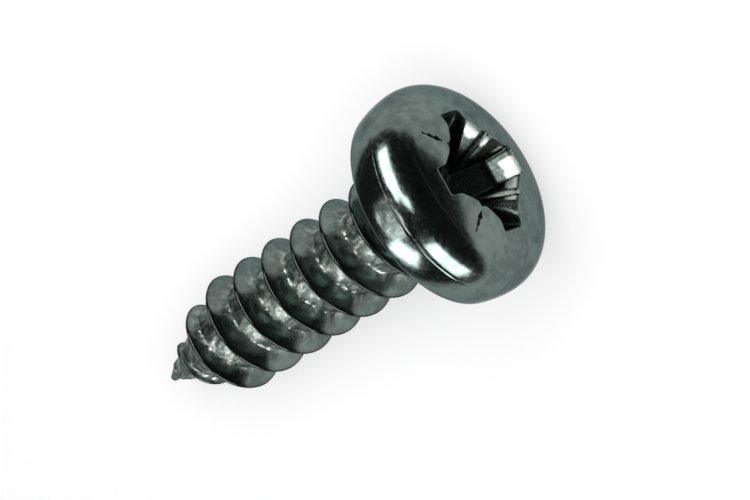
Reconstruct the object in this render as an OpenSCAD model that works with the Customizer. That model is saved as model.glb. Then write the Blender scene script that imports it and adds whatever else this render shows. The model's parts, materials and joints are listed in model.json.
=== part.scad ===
// Pan head tapping screw with a cruciform type Z recess and a coarse, sharp
// thread that runs from the cone point up to the head. It is one piece of
// steel. Lengths are millimetres, +Z is up and the floor is Z = 0.
//
// The screw lies on its side, as it comes to rest: on the side of its head
// and on one thread crest near the point. The head end faces +X.
// It is built upright, with the seat under the head at Z = 0 and the point
// below, and azimuth 0 is the side that ends up underneath.

/* [Head] */
// Diameter of the head
head_d = 7.7; // [6.4:0.1:10]
// Height of the head above its seat
head_h = 2.9; // [2.4:0.05:4]
// Radius of the crown
crown_r = 8.7; // [7:0.1:14]
// Radius of the shoulder between the side and the crown
shoulder_r = 1.36; // [1:0.02:1.5]
// Radius of the head's barrel-shaped side, in profile
side_r = 3.5; // [2.6:0.1:6]
// Radius of the edge round the seat
seat_edge_r = 0.16; // [0.1:0.01:0.4]

/* [Recess] */
// Width of each wing
wing_w = 1.04; // [0.7:0.02:1.2]
// Reach of each wing from the middle, at the top of the crown
wing_reach = 2.34; // [2:0.02:2.7]
// Depth to the bottom of the recess
recess_depth = 2.1; // [1.5:0.05:2.2]
// Depth of each wing's floor at its far end, as a share of the whole depth
ledge_share = 0.55; // [0.4:0.05:0.8]
// Slope of the wing ends, from upright
wing_slope = 26.5; // [15:0.5:30]
// Distance at which the flares leave the wings, at the top of the crown
flare_root = 1.98; // [1.7:0.01:2.1]
// Reach of the flared corners, square to the wings, at the top of the crown
flare_reach = 1.41; // [1.2:0.01:1.6]
// Length of the flat across each flared corner, at the top of the crown
flare_flat = 0.72; // [0.4:0.02:0.8]
// Slope of the flared corners, from upright
flare_slope = 27; // [20:0.5:32]
// Width of the fine groove down the middle of each flared corner
groove_w = 0.26; // [0.1:0.01:0.36]
// Depth of that groove into the flat
groove_in = 0.13; // [0.05:0.01:0.2]
// Offset of the punched recess from the middle, along its first wing
recess_off_x = 0.02; // [-0.2:0.01:0.2]
// Offset of the punched recess from the middle, along its second wing
recess_off_y = 0.23; // [-0.3:0.01:0.3]
// Azimuth of the first wing
recess_turn = 81.7; // [0:0.1:359]

/* [Type marks] */
// Distance from the middle of the recess to the near end of a mark
mark_in = 1.84; // [1.7:0.02:2]
// Length of each mark
mark_len = 0.8; // [0.4:0.05:1]
// Width of each mark at its widest
mark_w = 0.13; // [0.08:0.01:0.2]
// Depth of each mark
mark_depth = 0.12; // [0.08:0.01:0.2]

/* [Thread] */
// Diameter over the thread crests
thread_d = 4.18; // [3.8:0.02:4.6]
// Diameter at the thread roots
root_d = 2.86; // [2.5:0.02:3]
// Pitch of the thread
pitch = 1.48; // [1.3:0.01:1.8]
// Width of the flat on the crest
crest_w = 0.09; // [0.05:0.01:0.2]
// Half of the angle between the flanks
flank_angle = 30; // [25:1:32]
// Drop of the crest over its last turn before the head
run_drop = 0.06; // [0:0.01:0.2]
// Radius of the sweep from the shank into the seat
under_head_r = 0.8; // [0.78:0.02:1]

/* [Point] */
// Length from the seat to the end of the cone
cone_end = 13.1; // [9:0.02:25]
// Radius at the end of the cone
cone_tip_r = 0.3; // [0.2:0.02:0.4]
// Half of the angle of the cone
cone_angle = 23; // [20:0.2:30]
// Distance from the end of the cone to the first crest
start_gap = 0.4; // [0.2:0.05:0.8]
// Height of the first crest above the cone
start_h = 0.13; // [0.05:0.01:0.3]
// Growth of the crest's radius for each millimetre along the point
crest_growth = 0.56; // [0.5:0.01:0.8]
// Azimuth offset of the thread, as a share of its pitch
thread_phase = 0.05; // [0:0.01:1]
// Length of the nib past the cone
nib_len = 0.45; // [0.2:0.01:0.6]
// Radius at the end of the nib
nib_end_r = 0.14; // [0.08:0.01:0.2]
// Lean of the nib
nib_lean = 15; // [0:1:25]
// Azimuth to which the nib leans
nib_turn = 309; // [0:1:359]

/* [Hidden] */
$fn = 64;

head_r = head_d / 2;
crest_r = thread_d / 2;
root_r = root_d / 2;

// Head profile: the shoulder arc touches the upright side and the crown arc.
shoulder_x = head_r - shoulder_r;
crown_z = head_h - crown_r;
shoulder_z = crown_z + sqrt(pow(crown_r - shoulder_r, 2) - pow(shoulder_x, 2));
crown_meet = [shoulder_x, shoulder_z - crown_z] * crown_r / (crown_r - shoulder_r);

// The barrel side starts where the shoulder arc is upright, and the seat's
// edge touches both it and the seat.
side_x = head_r - side_r;
edge_span = [sqrt(pow(side_r - seat_edge_r, 2) - pow(shoulder_z - seat_edge_r, 2)),
             seat_edge_r - shoulder_z];
edge_x = side_x + edge_span[0];
edge_angle = atan2(edge_span[1], edge_span[0]);

// Cone and thread
cone_len = (root_r - cone_tip_r) / tan(cone_angle);
cone_top = -cone_end + cone_len;
steps = 50;                 // sections in each turn of the thread
seam_turn = 2.9;            // azimuth at which the round surfaces start
sink = 0.12;                // how far the ridge is rooted in the core
run_in = 0.3;               // how far the ridge runs into the head
core_least = 0.06;          // least radius to which the ridge is rooted
nib_over = 0.04;            // how far the nib's base stands round the cone's end
into_head = 0.7;            // how far the core runs into the head
clear = 0.5;                // how far a cut runs past what it cuts
first_z = -cone_end + start_gap;
first_r = cone_tip_r + start_gap * tan(cone_angle) + start_h;
turns = (run_in - first_z) / pitch;

// Recess
ledge = ledge_share * recess_depth;
flare_out = flare_reach - flare_flat / sqrt(8);           // to a flat's middle, along a wing
flare_taper = tan(flare_slope) / (flare_out * sqrt(2));   // shrinkage for each millimetre down
flare_depth = (1 - wing_w / 2 / flare_out) / flare_taper; // where the plain cross is left

// Pose on the floor: the head rests on its barrel side, or on the seat's edge
// where it leans further than that side reaches, and the shank comes down
// until the first of the crests that pass underneath it touches.
under = [for (n = [0 : turns - thread_phase]) first_z + (n + thread_phase) * pitch];
lie_side = min([for (z = under) lean_on(z, [side_x, shoulder_z], side_r)]);
lie_edge = min([for (z = under) lean_on(z, [edge_x, seat_edge_r], seat_edge_r)]);
on_side = lie_side <= -edge_angle;
lie = on_side ? lie_side : lie_edge;
rest = on_side ? [side_x, shoulder_z, side_r] : [edge_x, seat_edge_r, seat_edge_r];
floor_drop = rest[0] * cos(lie) - rest[1] * sin(lie) + rest[2];
nib_tip = -cone_end - nib_len * cos(nib_lean);
reach_head = crown_z * cos(lie) + crown_r;
reach_tip = nib_tip * cos(lie) - nib_end_r * sin(lie);

function core_r(z) =
    min(root_r, max(core_least, cone_tip_r + (z + cone_end) * tan(cone_angle)));

function ridge_r(z) =
    min(crest_r, first_r + (z - first_z) * crest_growth,
        crest_r - run_drop * (1 + z / pitch));

// Lean of the axis, with the crest at height z down and the head resting on
// an arc of its profile, given by its centre and radius
function lean_on(z, centre, radius) =
    let (
        span = centre[1] - z + crest_w / 2,
        rise = centre[0] - ridge_r(z)
    ) atan2(rise, span) + asin(radius / norm([span, rise]));

// One section of the ridge: root and crest below, crest and root above.
function section(i) =
    let (
        a = 360 * (i / steps - thread_phase),
        z = first_z + pitch * i / steps,
        r = ridge_r(z),
        w = crest_w / 2,
        t = tan(flank_angle),
        reach = w + (r - core_r(z) + sink) * t,
        low_r = core_r(z - reach) - sink / 2,
        high_r = core_r(z + reach) - sink
    ) [
        for (p = [
            [low_r, z - w - (r - low_r) * t],
            [r, z - w],
            [r, z + w],
            [high_r, z + w + (r - high_r) * t]
        ]) [p[0] * cos(a), p[0] * sin(a), p[1]]
    ];

module ridge() {
    count = floor(turns * steps);
    points = [for (i = [0 : count]) each section(i)];
    sides = [
        for (i = [0 : count - 1], k = [0 : 3])
            let (p = 4 * i + k, q = 4 * i + (k + 1) % 4)
                each [[p, q, q + 4], [p, q + 4, p + 4]]
    ];
    ends = [[3, 2, 1, 0], [for (k = [0 : 3]) 4 * count + k]];
    polyhedron(points = points, faces = concat(sides, ends), convexity = 10);
}

module head_profile() {
    difference() {
        intersection() {
            translate([0, crown_z]) circle(r = crown_r, $fn = 256);
            square([head_r, head_h]);
            // Within the barrel side
            union() {
                translate([side_x, shoulder_z]) circle(r = side_r, $fn = 128);
                translate([0, shoulder_z]) square([head_r, head_h]);
            }
        }
        // Outside the shoulder arc
        difference() {
            polygon([
                [shoulder_x, shoulder_z],
                [head_r + clear, shoulder_z],
                [head_r + clear, head_h + clear],
                [crown_meet[0], head_h + clear],
                [crown_meet[0], crown_z + crown_meet[1]]
            ]);
            translate([shoulder_x, shoulder_z]) circle(r = shoulder_r);
        }
        // Outside the seat's edge
        difference() {
            polygon([
                [edge_x, seat_edge_r],
                [edge_x, -clear],
                [head_r + clear, -clear],
                [edge_x, seat_edge_r] + head_r * [cos(edge_angle), sin(edge_angle)]
            ]);
            translate([edge_x, seat_edge_r]) circle(r = seat_edge_r);
        }
    }
}

module shank_profile() {
    polygon([
        [0, -cone_end],
        [cone_tip_r, -cone_end],
        [root_r, cone_top],
        [root_r, into_head],
        [0, into_head]
    ]);
    // Sweep from the shank into the seat
    difference() {
        translate([0, -under_head_r])
            square([root_r + under_head_r, under_head_r]);
        translate([root_r + under_head_r, -under_head_r])
            circle(r = under_head_r);
    }
}

module nib() {
    back = cone_tip_r / tan(cone_angle) / 2;
    translate([0, 0, -cone_end])
        rotate([0, 0, nib_turn])
            rotate([0, -nib_lean, 0])
                translate([0, 0, -nib_len])
                    cylinder(r1 = nib_end_r, r2 = cone_tip_r + nib_over,
                        h = nib_len + back);
}

// One pair of opposite wings, with sloped ends and a shallow V bottom
module blade() {
    low = wing_reach - ledge * tan(wing_slope);
    top = wing_reach + clear * tan(wing_slope);
    rotate([90, 0, 0])
        linear_extrude(height = wing_w, center = true)
            polygon([
                [-top, clear], [top, clear], [low, -ledge],
                [0, -recess_depth], [-low, -ledge]
            ]);
}

// Flared corners between the wings, which taper down to the plain cross, each
// with a fine groove down its middle
module flares() {
    near = 2 * flare_out - flare_reach;
    groove = groove_w / 2 * [1, -1] / sqrt(2);
    middle = [flare_out, flare_out];
    corner = [
        [flare_root, wing_w / 2],
        [flare_reach, near],
        middle + groove,
        middle + groove_in * [1, 1] / sqrt(2),
        middle - groove,
        [near, flare_reach],
        [wing_w / 2, flare_root]
    ];
    bottom = 1 - flare_depth * flare_taper;
    top = 1 + clear * flare_taper;
    translate([0, 0, -flare_depth])
        linear_extrude(height = flare_depth + clear, scale = top / bottom)
            scale([bottom, bottom])
                polygon([
                    for (q = [0 : 3], p = corner)
                        [p[0] * cos(90 * q) - p[1] * sin(90 * q),
                         p[0] * sin(90 * q) + p[1] * cos(90 * q)]
                ]);
}

// Four fine nicks between the wings, which mark the type of the recess
module type_marks() {
    drop = crown_r - sqrt(pow(crown_r, 2) - pow(mark_in, 2));
    for (q = [0 : 3])
        rotate([0, 0, 45 + 90 * q])
            translate([mark_in, 0, -drop - mark_depth])
                linear_extrude(height = mark_depth + clear)
                    polygon([
                        [0, 0], [mark_len / 4, -mark_w / 2],
                        [mark_len, 0], [mark_len / 4, mark_w / 2]
                    ]);
}

module recess() {
    translate([0, 0, head_h])
        rotate([0, 0, recess_turn])
            translate([recess_off_x, recess_off_y, 0]) {
                blade();
                rotate([0, 0, 90]) blade();
                flares();
                type_marks();
            }
}

module screw() {
    color([0.62, 0.66, 0.65])
        translate([-(reach_head + reach_tip) / 2, 0, floor_drop])
            rotate([0, 90 - lie, 0]) {
                difference() {
                    rotate([0, 0, seam_turn])
                        rotate_extrude() {
                            head_profile();
                            shank_profile();
                        }
                    recess();
                }
                ridge();
                nib();
            }
}

screw();
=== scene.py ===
import json
import math

import bmesh
import bpy
import numpy as np
from mathutils import Matrix, Vector


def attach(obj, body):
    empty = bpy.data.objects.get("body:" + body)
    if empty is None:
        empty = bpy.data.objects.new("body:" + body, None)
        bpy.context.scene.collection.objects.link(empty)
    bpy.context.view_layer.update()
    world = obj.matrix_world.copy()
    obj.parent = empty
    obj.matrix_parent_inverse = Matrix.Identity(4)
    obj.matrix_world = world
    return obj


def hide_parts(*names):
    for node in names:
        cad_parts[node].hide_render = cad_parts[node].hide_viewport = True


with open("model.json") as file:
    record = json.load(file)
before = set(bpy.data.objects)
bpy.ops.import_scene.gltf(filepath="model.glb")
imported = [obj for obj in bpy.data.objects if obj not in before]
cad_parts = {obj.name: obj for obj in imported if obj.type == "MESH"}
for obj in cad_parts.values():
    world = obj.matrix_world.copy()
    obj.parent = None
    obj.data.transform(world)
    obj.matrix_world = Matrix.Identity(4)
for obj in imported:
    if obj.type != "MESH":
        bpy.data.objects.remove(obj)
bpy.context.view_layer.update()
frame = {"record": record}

millimetre = 0.001

# The screw's own axes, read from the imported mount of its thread: the middle of the seat,
# the way to the head, the way across and the way up.
threadMount = next(m for m in frame["record"]["mounts"] if m["name"] == "thread")
seatMiddle = np.array(threadMount["pos_m"])
toHead = -np.array(threadMount["axis"])
toHead /= np.linalg.norm(toHead)
across = np.array([0.0, 1.0, 0.0])
upSide = np.cross(toHead, across)


def toWorld(points):
    # Upright millimetres to world metres: x goes to the underside, y across, z to the head.
    return seatMiddle + points @ np.stack([-upSide, across, toHead]) * millimetre


def ripple(points, size, seed, waves=32):
    # Smooth noise round 0, seldom past 1 or -1: the sum of sine waves that run in random
    # directions and whose lengths lie round size.
    rng = np.random.default_rng(seed)
    directions = rng.normal(size=(waves, 3))
    directions /= np.linalg.norm(directions, axis=1)[:, None]
    numbers = 2 * math.pi / (size * rng.uniform(0.7, 1.6, waves))
    phases = rng.uniform(0, 2 * math.pi, waves)
    swing = np.sin(points @ (directions * numbers[:, None]).T + phases).sum(-1)
    return swing / math.sqrt(waves)


def smoothStep(value, low, high):
    # 0 below low, 1 above high, and the curve 3t^2 - 2t^3 between.
    t = np.clip((value - low) / (high - low), 0, 1)
    return t * t * (3 - 2 * t)


def softMax(a, b, width):
    # The greater of a and b, rounded where they are closer than width.
    blend = np.clip(width - np.abs(a - b), 0, None) / width
    return np.maximum(a, b) + blend * blend * width / 4


# Sizes in millimetres and degrees, as on the solid part, with the fine relief beside them
head = dict(radius=3.85, height=2.9, crown=8.7, shoulder=1.36, side=3.5, seatEdge=0.16,
            lineAbove=0.128, lineDepth=0.008, lineWidth=0.04,
            scuffAt=173, scuffHalf=12, scuffDepth=0.022, scuffFrom=(0.4, 0.7),
            scuffTo=(0.15, 0.4), facetShare=0.9992)
thread = dict(crest=2.09, root=1.43, pitch=1.48, crestWidth=0.09, flankAngle=30,
              sweep=0.8, coneEnd=13.1, coneTip=0.3, coneAngle=23, startGap=0.4,
              startHeight=0.13, growth=0.56, phase=0.05, runDrop=0.06, rootBlend=0.09,
              crestSoft=0.03, startSunk=0.3)
nib = dict(length=0.45, lean=15, turn=309)
recess = dict(width=1.04, reach=2.34, depth=2.1, slope=26.5, ledge=0.55,
              flareRoot=1.98, flareReach=1.41, flareFlat=0.72, flareSlope=27,
              grooveWidth=0.26, grooveIn=0.13, offset=0.02 + 0.23j, turn=81.7, edge=0.05,
              lip=0.012, lipDepth=0.045, bottomRise=0.3,
              markIn=1.84, markLength=0.8, markWidth=0.13, markDepth=0.12, markWorn=0.2)

firstZ = -thread["coneEnd"] + thread["startGap"]
topZ = -0.02
coneSlope = math.tan(math.radians(thread["coneAngle"]))
crownZ = head["height"] - head["crown"]
shoulderX = head["radius"] - head["shoulder"]
shoulderZ = crownZ + math.sqrt((head["crown"] - head["shoulder"]) ** 2 - shoulderX ** 2)
meetAngle = math.atan2(shoulderZ - crownZ, shoulderX)
meetRadius = head["crown"] * math.cos(meetAngle)
sideX = head["radius"] - head["side"]
edgeRise = head["seatEdge"] - shoulderZ
edgeX = sideX + math.sqrt((head["side"] - head["seatEdge"]) ** 2 - edgeRise ** 2)
edgeAngle = math.atan2(edgeRise, edgeX - sideX)
flareOut = recess["flareReach"] - recess["flareFlat"] / math.sqrt(8)
flareTaper = math.tan(math.radians(recess["flareSlope"])) / (flareOut * math.sqrt(2))

# Columns of the mesh: each runs through the same place on every edge of the recess, by the
# counts below, and they crowd together at the type marks.
edgeCounts = [4, 8, 4, 5, 5, 4, 8, 4, 14]
crowding = 1.4


def columnPlaces():
    # Places along the outline: edge number plus the share of the edge.
    places = []
    for edge, count in enumerate(edgeCounts * 4):
        share = np.arange(count) / count
        share = 1 - (1 - share) ** crowding if edge % 9 == 3 else share
        share = share ** crowding if edge % 9 == 4 else share
        places.append(edge + share)
    return np.concatenate(places)


places = columnPlaces()
columns = len(places)
turnOver = np.exp(1j * math.radians(recess["turn"]))
recessMiddle = recess["offset"] * turnOver


def outline(half):
    # Closed outline through the first five corners of one quarter, their mirror images
    # across its middle, and the same a quarter turn on, with the columns spread along it.
    quarter = half + [1j * np.conj(corner) for corner in half[-2::-1]]
    table = np.array([np.broadcast_to(corner, columns) for corner in quarter])
    start = np.floor(places).astype(int)
    share = places - start
    ends = []
    for knot in (start, start + 1):
        ends.append(table[knot % 9, np.arange(columns)] * 1j ** (knot // 9))
    return ends[0] * (1 - share) + ends[1] * share


def recessOutline(depth):
    # Section of the recess at a depth below the top of the crown: wings with sloped ends and
    # then sloped floors, and flared corners that shrink to nothing, each with a fine groove
    half = recess["width"] / 2
    shrink = 1 - depth * flareTaper
    near = 2 * flareOut - recess["flareReach"]
    steep = (near - half) / (recess["flareRoot"] - recess["flareReach"])
    cornerX = np.where(near * shrink > half, recess["flareReach"] * shrink,
                       np.maximum(2 * flareOut * shrink, 2 * half) - half)
    cornerY = np.maximum(near * shrink, half)
    rootX = recess["flareRoot"] * shrink - half * (1 - shrink) / steep
    rootX = np.maximum(rootX, cornerX + 0.02)
    ledge = recess["ledge"] * recess["depth"]
    slope = math.tan(math.radians(recess["slope"]))
    low = recess["reach"] - ledge * slope
    floorReach = low * (recess["depth"] - depth) / (recess["depth"] - ledge)
    reach = np.maximum(np.where(depth < ledge, recess["reach"] - depth * slope, floorReach),
                       rootX + 0.02)
    middle = np.maximum(flareOut * shrink, half)
    flat = np.hypot(cornerX - middle, cornerY - middle)
    groove = np.minimum(recess["grooveWidth"] / 2, flat * 0.6) * (1 - 1j) / math.sqrt(2)
    inward = recess["grooveIn"] * np.clip(flat / recess["flareFlat"] * 2, 0, 1) / math.sqrt(2)
    return outline([reach + half * 1j, rootX + half * 1j, cornerX + cornerY * 1j,
                    middle * (1 + 1j) + groove, (middle + inward) * (1 + 1j)])


def soften(points, times):
    # Rounds an outline: each column moves towards the middle of its neighbours.
    for _ in range(times):
        points = points / 2 + (np.roll(points, 1) + np.roll(points, -1)) / 4
    return points


def crownHeight(xy):
    # Height of the sphere of the crown over a place in plan
    return crownZ + np.sqrt(head["crown"] ** 2 - np.abs(xy) ** 2)


def mouthOutline():
    # Where the recess meets the crown, found in a few rounds
    depth = np.zeros(columns)
    for _ in range(6):
        xy = recessMiddle + recessOutline(depth) * turnOver
        depth = head["height"] - crownHeight(xy)
    return soften(recessOutline(depth), 2)


mouth = mouthOutline()
rays = mouth / np.abs(mouth) * turnOver
towards = (np.conj(recessMiddle) * rays).real
toRim = -towards + np.sqrt(towards ** 2 - np.abs(recessMiddle) ** 2 + meetRadius ** 2)
rim = recessMiddle + toRim * rays
azimuths = np.unwrap(np.angle(rim))
print("columns", columns)


def coreRadius(z):
    # Cone up to the root radius, then straight, then the sweep into the seat.
    cone = thread["coneTip"] + (z + thread["coneEnd"]) * coneSlope
    body = np.clip(cone, thread["coneTip"], thread["root"])
    lift = np.clip(z + thread["sweep"], 0, thread["sweep"])
    return body + thread["sweep"] - np.sqrt(thread["sweep"] ** 2 - lift ** 2)


def threadForm(z):
    # Radius of the threaded shank at height z on each column. The nearest crest lies at
    # first crest + pitch * (turn + azimuth / full turn); its radius grows along the point
    # until it is full, and its flanks fall at the flank angle on both sides.
    pitch = thread["pitch"]
    progress = (z - firstZ) / pitch - azimuths / (2 * math.pi) - thread["phase"]
    crestZ = z - pitch * (progress - np.round(progress))
    first = thread["coneTip"] + thread["startGap"] * coneSlope + thread["startHeight"]
    crest = np.minimum(thread["crest"], first + (crestZ - firstZ) * thread["growth"])
    crest = np.minimum(crest, thread["crest"] - thread["runDrop"] * (1 + crestZ / pitch))
    away = np.abs(z - crestZ) - thread["crestWidth"] / 2
    fall = (away + np.sqrt(away ** 2 + thread["crestSoft"] ** 2)) / 2
    fall /= math.tan(math.radians(thread["flankAngle"]))
    begun = smoothStep(crestZ - firstZ, -0.1, 0.25)
    core = coreRadius(z)
    ridge = core + (crest - fall - core) * begun - (1 - begun) * thread["startSunk"]
    radius = softMax(core, ridge, thread["rootBlend"])
    proud = np.clip((radius - core) / (thread["crest"] - thread["root"]), 0, 1)
    # Closeness to the middle of the crest, where the material paints a dark line of painted shade
    edge = begun * np.exp(-((z - crestZ) / (thread["crestWidth"] * 0.75)) ** 4)
    return radius, proud, edge


def ring(radius, z):
    # Circle at height z: radius times cosine and sine of each column's azimuth
    return np.stack([radius * np.cos(azimuths), radius * np.sin(azimuths),
                     np.broadcast_to(z, azimuths.shape)], -1)


def threadRows():
    # Rows that follow the helix, so that each keeps its place on the crest, a flank or the
    # root. Rows past either end of the thread lie on one ring there, and are merged later.
    pitch = thread["pitch"]
    half = thread["crestWidth"] / 2 / pitch
    flank = (thread["crest"] - thread["root"]) * math.tan(math.radians(thread["flankAngle"])) / pitch
    side = [half * 0.5, half, half + 0.02]
    side += [half + flank * share for share in (0.22, 0.45, 0.7, 0.9, 1.05)]
    rootRows = np.linspace(half + flank * 1.05, 0.5, 5)[1:]
    right = np.concatenate([side, rootRows])
    shares = np.concatenate([right, 1 - right[:-1][::-1], [1.0]])
    rows = len(shares)
    turns = math.ceil((topZ + thread["coneEnd"]) / pitch) + 3
    row = np.arange(turns * rows + 1)
    lane = row // rows + shares[row % rows] - 2
    z = firstZ + pitch * (lane[:, None] + azimuths[None] / (2 * math.pi) + thread["phase"])
    z = np.clip(z, -thread["coneEnd"], topZ)
    radius, proud, edge = threadForm(z)
    points = np.stack([radius * np.cos(azimuths), radius * np.sin(azimuths), z], -1)
    return points, proud, edge, rows


def nibRings():
    # Rings from the pole at the very end up to the cone's end; their middle runs along a
    # leaning line, and their planes turn from square to that line to level.
    lean, turn = math.radians(nib["lean"]), math.radians(nib["turn"])
    way = np.array([math.sin(lean) * math.cos(turn), math.sin(lean) * math.sin(turn), -math.cos(lean)])
    shares = [1.0, 1.0, 0.995, 0.965, 0.87, 0.7, 0.55, 0.4, 0.25, 0.12, 0.05, 0.0]
    radii = [0.0, 0.07, 0.11, 0.136, 0.152, 0.168, 0.19, 0.213, 0.235, 0.252, 0.268, 0.3]
    level = np.stack([np.cos(azimuths), np.sin(azimuths), np.zeros(columns)], -1)
    rings = []
    for share, radius in zip(shares, radii):
        tilt = min(1, share * 2.5)
        axis = way * tilt + np.array([0, 0, -1]) * (1 - tilt)
        axis /= np.linalg.norm(axis)
        spokes = level - (level @ axis)[:, None] * axis
        spokes /= np.linalg.norm(spokes, axis=1)[:, None]
        middle = np.array([0, 0, -thread["coneEnd"]]) + way * nib["length"] * share
        rings.append(middle + spokes * radius)
    return rings


def headRings():
    # Seat, seat edge, side, shoulder and crown, outside in: each is an arc whose radius and
    # height go with the cosine and sine of an angle. The rings crowd at the rolled line, and
    # on the crown they blend from the round rim to the mouth of the recess.
    radius = threadForm(np.full(columns, topZ))[0]
    rings = [ring(radius, topZ)]
    rings += [ring(r, 0.0) for r in np.linspace(thread["root"] + thread["sweep"], edgeX, 6)]
    for angle in np.linspace(-math.pi / 2, edgeAngle, 8)[1:]:
        rings.append(ring(edgeX + head["seatEdge"] * math.cos(angle),
                          head["seatEdge"] * (1 + math.sin(angle))))
    for angle in np.linspace(edgeAngle, 0, 9)[1:]:
        rings.append(ring(sideX + head["side"] * math.cos(angle),
                          shoulderZ + head["side"] * math.sin(angle)))
    lineEnd = 0.3
    coarse = np.linspace(lineEnd, meetAngle, 26)
    fine = np.linspace(0, lineEnd, 22)[1:]
    for angle in np.concatenate([fine, coarse[1:]]):
        rings.append(ring(shoulderX + head["shoulder"] * math.cos(angle),
                          shoulderZ + head["shoulder"] * math.sin(angle)))
    outer = recessMiddle + mouth * (1 + recess["edge"] / np.abs(mouth)) * turnOver
    for share in np.linspace(0, 1, 31)[1:]:
        xy = rim * (1 - share) + outer * share
        rings.append(np.stack([xy.real, xy.imag, crownHeight(xy)], -1))
    return rings


def recessRings():
    # Rounded mouth, tapering walls, and a shallow point at the bottom
    def level(section, z):
        xy = recessMiddle + section * turnOver
        return np.stack([xy.real, xy.imag, np.broadcast_to(z, xy.shape)], -1)

    top = crownHeight(recessMiddle + mouth * turnOver)
    lipTop, lipEnd = top - recess["lip"], top - recess["lipDepth"]
    rings = [level(mouth * (1 + recess["lip"] / np.abs(mouth)), lipTop), level(mouth, lipEnd)]
    deepest = recess["depth"] - recess["bottomRise"]
    for share in np.linspace(0, 1, 21)[1:]:
        z = lipEnd * (1 - share) + (head["height"] - deepest) * share
        section = soften(recessOutline(head["height"] - z), 2)
        rings.append(level(section, z))
    for share in np.linspace(1, 0, 8)[1:]:
        deep = deepest + recess["bottomRise"] * (1 - share)
        rings.append(level(section * share, head["height"] - deep))
    return rings


def markGrooves(points):
    # Depth of the four nicks: a V across, widest near its inner end; two are worn shallow.
    flat = (points[:, 0] + 1j * points[:, 1] - recessMiddle) / turnOver
    depth = np.zeros(len(points))
    for quarter in range(4):
        along = flat * np.exp(-1j * math.radians(45 + 90 * quarter))
        width = np.interp(along.real - recess["markIn"], [0, 0.2, recess["markLength"]],
                          [0, recess["markWidth"] / 2, 0])
        inside = np.clip(1 - np.abs(along.imag) / np.maximum(width, 1e-6), 0, 1)
        worn = recess["markWorn"] if quarter > 1 else 1.0
        depth = np.maximum(depth, inside * width * 2 / recess["markWidth"] * worn)
    return depth * recess["markDepth"]


def stackFaces(first, rings):
    # Quads between neighbouring rings of a stack, wound so that they face out
    ringNumber, column = np.meshgrid(np.arange(rings - 1), np.arange(columns), indexing="ij")
    here = first + ringNumber * columns
    following = (column + 1) % columns
    faces = np.stack([here + column, here + following,
                      here + columns + following, here + columns + column], -1)
    return faces.reshape(-1, 4)


def helixFaces(first, total, rows):
    # As for a stack, but past the last column a row goes on as the row one turn further.
    row, column = np.meshgrid(np.arange(total - 1), np.arange(columns), indexing="ij")
    last = column == columns - 1
    keep = ~last | (row + rows + 1 < total)
    row, column, last = row[keep], column[keep], last[keep]
    nextRow = row + np.where(last, rows, 0)
    nextColumn = np.where(last, 0, column + 1)
    faces = np.stack([first + row * columns + column, first + nextRow * columns + nextColumn,
                      first + (nextRow + 1) * columns + nextColumn,
                      first + (row + 1) * columns + column], -1)
    return faces.reshape(-1, 4)


# Patches of painted highlight in the recess: quarter, first and last place along the outline, rings
# deep
patches = [(2, 8.0, 8.66, 7.6), (3, 0.7, 1.2, 5.5), (3, 2.3, 3.35, 5.2), (3, 5.5, 6.75, 5.2),
           (2, 2.2, 3.0, 5.6), (2, 5.5, 6.75, 5.6), (0, 2.3, 3.35, 5.2), (1, 5.5, 6.75, 4.8)]
patchEdge = dict(size=0.35, wander=0.6)


def paintedHighlightShare(ringCount):
    # How much painted highlight each vertex of the recess gets: 1 inside a patch, fading over one
    # ring at its lower edge, which wanders along the outline.
    level, column = np.meshgrid(np.arange(ringCount), np.arange(columns), indexing="ij")
    quarter = places[column] // 9
    along = places[column] % 9
    ragged = ripple(np.stack([mouth.real, mouth.imag, mouth.real * 0], -1), patchEdge["size"], 11)
    total = np.zeros(level.shape)
    for sector, start, end, deep in patches:
        patch = (quarter == sector) * (along >= start) * (along <= end)
        total += patch * np.clip(deep + patchEdge["wander"] * ragged[column] - level, 0, 1)
    return (total * (level > 1)).reshape(-1)


# Crumpled metal: height and size of its coarse and fine waves in the roots and the first
# turn, how far it climbs the flanks, the heights between which the first turn ends, and the
# depths below the head over which it sets in
crumple = dict(rootWaves=((0.011, 0.28, 3), (0.006, 0.12, 4)),
               turnWaves=((0.022, 0.3, 5), (0.01, 0.13, 6)),
               climb=(0.06, 0.5), wander=0.1, wanderSize=0.5, turnEnd=(-12.9, -11.9),
               roughUnderHead=(0.1, 0.5), swellUnderHead=(0.02, 0.3))


def crumpled(points, waves):
    # Sum of ripples, each with its height, size and seed
    return sum(height * ripple(points, size, seed) for height, size, seed in waves)


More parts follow.
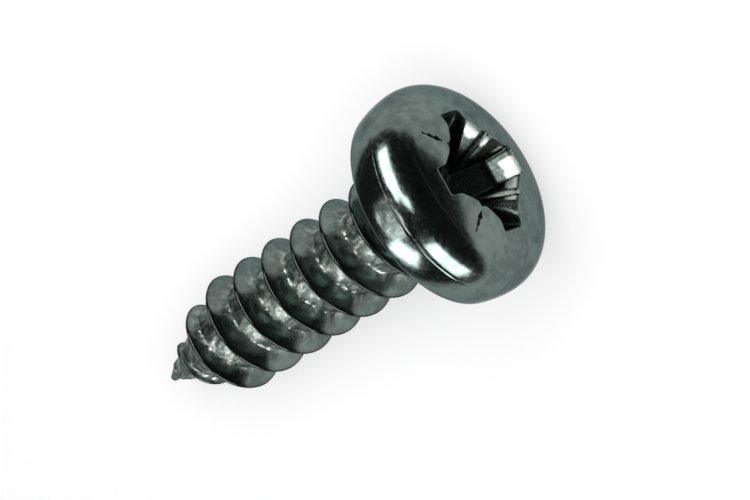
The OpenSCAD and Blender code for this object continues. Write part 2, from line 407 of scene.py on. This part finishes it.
def buildScrew():
    # Joins the rings of the tip, the rows of the shank and the rings of the head and recess
    # into one closed mesh, whose points are then moved for the fine relief.
    tip = np.concatenate(nibRings())
    rows, proud, edge, rowsPerTurn = threadRows()
    shank = rows.reshape(-1, 3)
    upper = headRings()
    inner = recessRings()
    top = np.concatenate(upper + inner)
    points = np.concatenate([tip, shank, top])
    faces = np.concatenate([
        stackFaces(0, len(tip) // columns),
        helixFaces(len(tip), len(rows), rowsPerTurn),
        stackFaces(len(tip) + len(shank), len(top) // columns)])

    # Which part of the screw a vertex belongs to
    isShank = np.zeros(len(points), bool)
    isShank[len(tip):len(tip) + len(shank)] = True
    isTip = np.arange(len(points)) < len(tip)
    isTop = ~isShank & ~isTip
    inRecess = np.zeros(len(points), bool)
    inRecess[len(points) - len(inner) * columns:] = True
    z = points[:, 2]
    radius = np.hypot(points[:, 0], points[:, 1])
    ridge = np.zeros(len(points))
    ridge[isShank] = proud.reshape(-1)
    # Where the dark line of painted shade along the crests goes
    crestShadeLine = np.zeros(len(points))
    crestShadeLine[isShank] = edge.reshape(-1)

    # Fine rolled line round the shoulder
    above = z - shoulderZ - head["lineAbove"]
    line = head["lineDepth"] * np.exp(-(above / head["lineWidth"]) ** 2)
    line *= isTop & ~inRecess
    outward = points * np.array([1, 1, 0]) / np.maximum(radius, 1e-6)[:, None]

    # Scuffed patch on the side of the head
    turn = np.degrees(np.arctan2(points[:, 1], points[:, 0])) % 360 - head["scuffAt"]
    scuff = (1 - smoothStep(np.abs(turn), head["scuffHalf"] * 0.4, head["scuffHalf"]))
    scuff *= isTop & ~inRecess
    scuff *= smoothStep(z, *head["scuffFrom"]) * (1 - smoothStep(z - shoulderZ, *head["scuffTo"]))
    dents = crumpled(points, ((1.0, 0.5, 7), (0.6, 0.24, 8)))
    points = points - outward * (line + head["scuffDepth"] * scuff * np.abs(dents))[:, None]

    # Nicks on the crown
    onCrown = isTop & ~inRecess & (z > shoulderZ)
    points[:, 2] -= np.where(onCrown, markGrooves(points), 0)

    # Crumpled roots and first turn
    climb = ridge + crumple["wander"] * ripple(points, crumple["wanderSize"], 9)
    rough = np.where(isShank, 1 - smoothStep(climb, *crumple["climb"]), 0)
    rough *= smoothStep(-z, *crumple["roughUnderHead"])
    early = np.where(isShank, 1 - smoothStep(z, *crumple["turnEnd"]), 0)
    early *= smoothStep(z, -thread["coneEnd"], crumple["turnEnd"][0])
    swell = rough * crumpled(points, crumple["rootWaves"])
    swell += early * crumpled(points, crumple["turnWaves"])
    swell *= smoothStep(-z, *crumple["swellUnderHead"])
    points = points + outward * swell[:, None]

    # The solid lies on flat facets, so its box is a hair flatter that way than the true round.
    points[:, 0] *= head["facetShare"]

    mesh = bpy.data.meshes.new("screwSkin")
    mesh.from_pydata(toWorld(points).tolist(), [], faces.tolist())
    skin = bpy.data.objects.new("screw_skin", mesh)
    bpy.context.scene.collection.objects.link(skin)
    # Pale painted highlight on patches of the recess
    bright = np.zeros(len(points))
    bright[len(points) - len(inner) * columns:] = paintedHighlightShare(len(inner))
    for name, values in (("rough", np.maximum(rough, early)), ("paintedHighlight", bright),
                         ("recess", inRecess.astype(float)), ("scuff", scuff), ("crest", crestShadeLine)):
        layer = mesh.attributes.new(name, "FLOAT", "POINT")
        layer.data.foreach_set("value", values.astype(np.float32))
    return skin


sharpFrom = 38  # degrees between two faces


def weld(skin):
    # Merges the rows that lie on one ring, and the poles, then shades smooth but for edges.
    work = bmesh.new()
    work.from_mesh(skin.data)
    bmesh.ops.remove_doubles(work, verts=work.verts, dist=1e-8)
    work.to_mesh(skin.data)
    work.free()
    skin.data.polygons.foreach_set("use_smooth", [True] * len(skin.data.polygons))
    skin.data.set_sharp_from_angle(angle=math.radians(sharpFrom))


skin = buildScrew()
weld(skin)
print("screw", len(skin.data.vertices), "vertices", len(skin.data.polygons), "faces")


def noiseAt(tree, place, scale, detail=3.0, roughness=0.55):
    # Noise round a half, of so many waves to the metre
    noise = tree.nodes.new("ShaderNodeTexNoise")
    noise.inputs["Scale"].default_value = scale
    noise.inputs["Detail"].default_value = detail
    noise.inputs["Roughness"].default_value = roughness
    tree.links.new(place, noise.inputs["Vector"])
    return noise.outputs["Fac"]


def ramped(tree, value, low, high, start=0.0, end=1.0):
    # Maps value from low..high to start..end, smoothly and clamped.
    node = tree.nodes.new("ShaderNodeMapRange")
    node.interpolation_type = "SMOOTHSTEP"
    node.inputs["From Min"].default_value = low
    node.inputs["From Max"].default_value = high
    node.inputs["To Min"].default_value = start
    node.inputs["To Max"].default_value = end
    tree.links.new(value, node.inputs["Value"])
    return node.outputs["Result"]


def combine(tree, operation, a, b):
    # A math node whose inputs are outputs or plain numbers
    node = tree.nodes.new("ShaderNodeMath")
    node.operation = operation
    for socket, value in zip(node.inputs, (a, b)):
        if isinstance(value, (int, float)):
            socket.default_value = value
        else:
            tree.links.new(value, socket)
    return node.outputs[0]


def blended(tree, share, a, b):
    # Colour a where share is 0 and b where it is 1
    node = tree.nodes.new("ShaderNodeMix")
    node.data_type = "RGBA"
    tree.links.new(share, node.inputs[0])
    for socket, value in ((node.inputs[6], a), (node.inputs[7], b)):
        if isinstance(value, tuple):
            socket.default_value = (*value, 1)
        else:
            tree.links.new(value, socket)
    return node.outputs[2]


def attributeOf(tree, name):
    # One of the masks that the mesh carries
    node = tree.nodes.new("ShaderNodeAttribute")
    node.attribute_name = name
    return node.outputs["Fac"]


def zincSteel():
    # Bright zinc plating, mottled and slightly teal, with crumpled rough thread roots, dark lines of
    # painted shade along the crests, a recess painted dark as shade and pale patches of painted
    # highlight
    # The near black for the crests and the dark for the recess are painted shade, and the palest
    # colour is a painted highlight
    finish = dict(light=(0.168, 0.21, 0.196), dark=(0.108, 0.136, 0.127), crest=(0.02, 0.024, 0.022),
                  pit=(0.12, 0.147, 0.137), fleck=(0.33, 0.36, 0.335),
                  recess=(0.07, 0.088, 0.08), paintedHighlight=(0.78, 0.84, 0.77))
    waves = dict(coarse=900, grain=9000, pits=3600, flecks=2700)
    polish = dict(plain=(0.13, 0.22), rough=(0.14, 0.3), recess=0.1, paintedHighlight=0.15, scuff=0.15)
    material = bpy.data.materials.new("zinc_plated_steel")
    material.use_nodes = True
    tree = material.node_tree
    shader = tree.nodes["Principled BSDF"]
    shader.inputs["Metallic"].default_value = 1.0
    shader.inputs["Specular Tint"].default_value = (0.45, 0.5, 0.5, 1)
    place = tree.nodes.new("ShaderNodeTexCoord").outputs["Object"]
    coarse = noiseAt(tree, place, waves["coarse"], 4)
    grain = noiseAt(tree, place, waves["grain"], 3)
    pits = noiseAt(tree, place, waves["pits"], 4)
    flecks = noiseAt(tree, place, waves["flecks"], 2.5)
    masks = {name: attributeOf(tree, name)
             for name in ("rough", "recess", "scuff", "crest", "paintedHighlight")}
    mottle = combine(tree, "MULTIPLY", coarse, 0.7)
    mottle = combine(tree, "ADD", mottle, combine(tree, "MULTIPLY", pits, 0.3))
    colour = blended(tree, ramped(tree, mottle, 0.38, 0.64), finish["light"], finish["dark"])
    flecked = blended(tree, ramped(tree, flecks, 0.44, 0.66), finish["pit"], finish["fleck"])
    marred = combine(tree, "MAXIMUM", masks["rough"], combine(tree, "MULTIPLY", masks["scuff"], 0.8))
    colour = blended(tree, marred, colour, flecked)
    # The recess painted dark: painted shade inside it
    colour = blended(tree, masks["recess"], colour, finish["recess"])
    # Pale patches of painted highlight in the recess
    colour = blended(tree, masks["paintedHighlight"], colour, finish["paintedHighlight"])
    # Near black along the crests: painted shade
    colour = blended(tree, combine(tree, "MULTIPLY", masks["crest"], 0.9), colour, finish["crest"])
    tree.links.new(colour, shader.inputs["Base Color"])
    rough = ramped(tree, grain, 0.3, 0.7, *polish["plain"])
    extra = combine(tree, "MULTIPLY", masks["rough"], ramped(tree, pits, 0.35, 0.65, *polish["rough"]))
    rough = combine(tree, "ADD", rough, extra)
    for name in ("recess", "paintedHighlight", "scuff"):
        rough = combine(tree, "ADD", rough, combine(tree, "MULTIPLY", masks[name], polish[name]))
    tree.links.new(rough, shader.inputs["Roughness"])
    bump = tree.nodes.new("ShaderNodeBump")
    bump.inputs["Distance"].default_value = 0.00002
    amount = combine(tree, "ADD", combine(tree, "MULTIPLY", marred, 0.8), 0.06)
    tree.links.new(amount, bump.inputs["Strength"])
    tree.links.new(pits, bump.inputs["Height"])
    tree.links.new(bump.outputs["Normal"], shader.inputs["Normal"])
    return material


skin.data.materials.append(zincSteel())
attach(skin, "root")
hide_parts("screw")
print("material")


def stageSheet(name, corners):
    # One flat sheet of the studio
    mesh = bpy.data.meshes.new(name + "Mesh")
    mesh.from_pydata(corners, [], [tuple(range(len(corners)))])
    sheet = bpy.data.objects.new(name, mesh)
    bpy.context.scene.collection.objects.link(sheet)
    return sheet


def addFloor():
    # Pale sheet under the screw: what the camera and the metal see of it is lifted to white,
    # while the shadow stays.
    paper = dict(colour=(0.9, 0.9, 0.9), lift=0.55, half=0.6)
    half = paper["half"]
    floor = stageSheet("floor_sheet", [(-half, -half, 0), (half, -half, 0),
                                       (half, half, 0), (-half, half, 0)])
    material = bpy.data.materials.new("pale_paper")
    material.use_nodes = True
    tree = material.node_tree
    shader = tree.nodes["Principled BSDF"]
    shader.inputs["Base Color"].default_value = (*paper["colour"], 1)
    shader.inputs["Roughness"].default_value = 0.9
    shader.inputs["Specular IOR Level"].default_value = 0.0
    path = tree.nodes.new("ShaderNodeLightPath")
    seen = combine(tree, "MAXIMUM", path.outputs["Is Camera Ray"], path.outputs["Is Glossy Ray"])
    seen = combine(tree, "MAXIMUM", seen, path.outputs["Is Transmission Ray"])
    white = tree.nodes.new("ShaderNodeEmission")
    mix = tree.nodes.new("ShaderNodeMixShader")
    tree.links.new(combine(tree, "MULTIPLY", seen, paper["lift"]), mix.inputs[0])
    tree.links.new(shader.outputs[0], mix.inputs[1])
    tree.links.new(white.outputs[0], mix.inputs[2])
    tree.links.new(mix.outputs[0], tree.nodes["Material Output"].inputs["Surface"])
    floor.data.materials.append(material)


def addFlag(name, outline):
    # Black card on the floor that only the metal sees; its corners are in millimetres.
    card = stageSheet(name, [(x / 1000, y / 1000, 0.0003) for x, y in outline])
    material = bpy.data.materials.new(name)
    material.use_nodes = True
    shader = material.node_tree.nodes["Principled BSDF"]
    shader.inputs["Base Color"].default_value = (0.01, 0.01, 0.01, 1)
    shader.inputs["Roughness"].default_value = 1.0
    shader.inputs["Specular IOR Level"].default_value = 0.0
    card.data.materials.append(material)
    card.visible_camera = False
    card.visible_diffuse = False
    card.visible_transmission = False
    card.visible_shadow = False


def softBox(name, azimuth, elevation, distance, wide, tall, radiance, inMetal=True):
    # A lamp seen from the head at that azimuth and elevation, wide and tall in degrees, whose
    # power is 4 times its radiance times its area. It is seen in the metal, or else it
    # lights the floor.
    lamp = bpy.data.lights.new(name, "AREA")
    lamp.shape = "RECTANGLE"
    lamp.size = 2 * distance * math.tan(math.radians(wide / 2))
    lamp.size_y = 2 * distance * math.tan(math.radians(tall / 2))
    lamp.energy = radiance * lamp.size * lamp.size_y * 4
    box = bpy.data.objects.new(name, lamp)
    az, el = math.radians(azimuth), math.radians(elevation)
    way = Vector((math.cos(az) * math.cos(el), math.sin(az) * math.cos(el), math.sin(el)))
    headMiddle = Vector((0.006, 0, 0.006))
    box.location = headMiddle + way * distance
    box.rotation_euler = way.to_track_quat("Z", "Y").to_euler()
    box.visible_camera = False
    box.visible_glossy = inMetal
    box.visible_diffuse = not inMetal
    bpy.context.scene.collection.objects.link(box)


def addCamera():
    # Where the camera stood, fitted to the outlines of the head, recess and thread: its tilt
    # from the screw's axis and turn round it in degrees, its distance in millimetres, its
    # focal length and the place of the seat's middle in pixels of the frame
    frameSize = np.array([750.0, 500.0])
    fitted = dict(tilt=55.298, turn=33.353, distance=78.891, focal=2355.47,
                  seatPixel=np.array([429.575, 206.199]))
    camera = bpy.data.cameras.new("camera")
    camera.sensor_width = 36
    camera.lens = fitted["focal"] * camera.sensor_width / frameSize[0]
    camera.clip_start = 0.001
    view = bpy.data.objects.new("camera", camera)
    theta, psi = math.radians(fitted["tilt"]), math.radians(fitted["turn"])
    acrossView = np.array([-math.sin(psi), math.cos(psi), 0])
    axisView = np.array([math.cos(psi) * math.sin(theta), math.sin(psi) * math.sin(theta),
                         math.cos(theta)])
    upView = np.cross(axisView, acrossView)
    axes = np.outer(across, acrossView) + np.outer(upSide, upView) + np.outer(toHead, axisView)
    pixelsPerMillimetre = fitted["focal"] / fitted["distance"]
    shift = (fitted["seatPixel"] - frameSize / 2) / pixelsPerMillimetre
    place = seatMiddle + axes @ np.array([-shift[0], shift[1], fitted["distance"]]) * millimetre
    pose = Matrix(axes.tolist()).to_4x4()
    pose.translation = Vector(place.tolist())
    view.matrix_world = pose
    bpy.context.scene.collection.objects.link(view)
    bpy.context.scene.camera = view


def addWorld():
    # A dim room
    world = bpy.data.worlds.new("studio")
    bpy.context.scene.world = world
    world.use_nodes = True
    world.node_tree.nodes["Background"].inputs["Color"].default_value = (0.02, 0.022, 0.022, 1)


addFloor()
addFlag("front_card", [(21.4, 2.9), (27.5, -4.5), (52, -22), (300, -170), (300, 390), (68, 74),
                       (25.7, 12.4)])
addFlag("rear_card", [(-9.8, 36.7), (-77, 290), (-219, 205), (-295, 52), (-37.4, 6.6), (-27.8, 25.9)])
# Azimuth, elevation, distance in metres, width and height in degrees, radiance
lamps = dict(left_box=(93, 44, 0.05, 26, 52, 6), right_box=(-96, 37, 0.05, 31, 46, 6),
             back_box=(-159, 27, 0.045, 24, 19, 6), rear_box=(176, 43, 0.05, 26, 20, 2.6),
             top_box=(50, 71, 0.16, 14, 12, 6))
for lampName, values in lamps.items():
    softBox(lampName, *values)
softBox("fill_box", 20, 75, 0.14, 70, 70, 2.6, inMetal=False)
addWorld()
addCamera()
bpy.context.scene.view_settings.view_transform = "Standard"
print("stage")
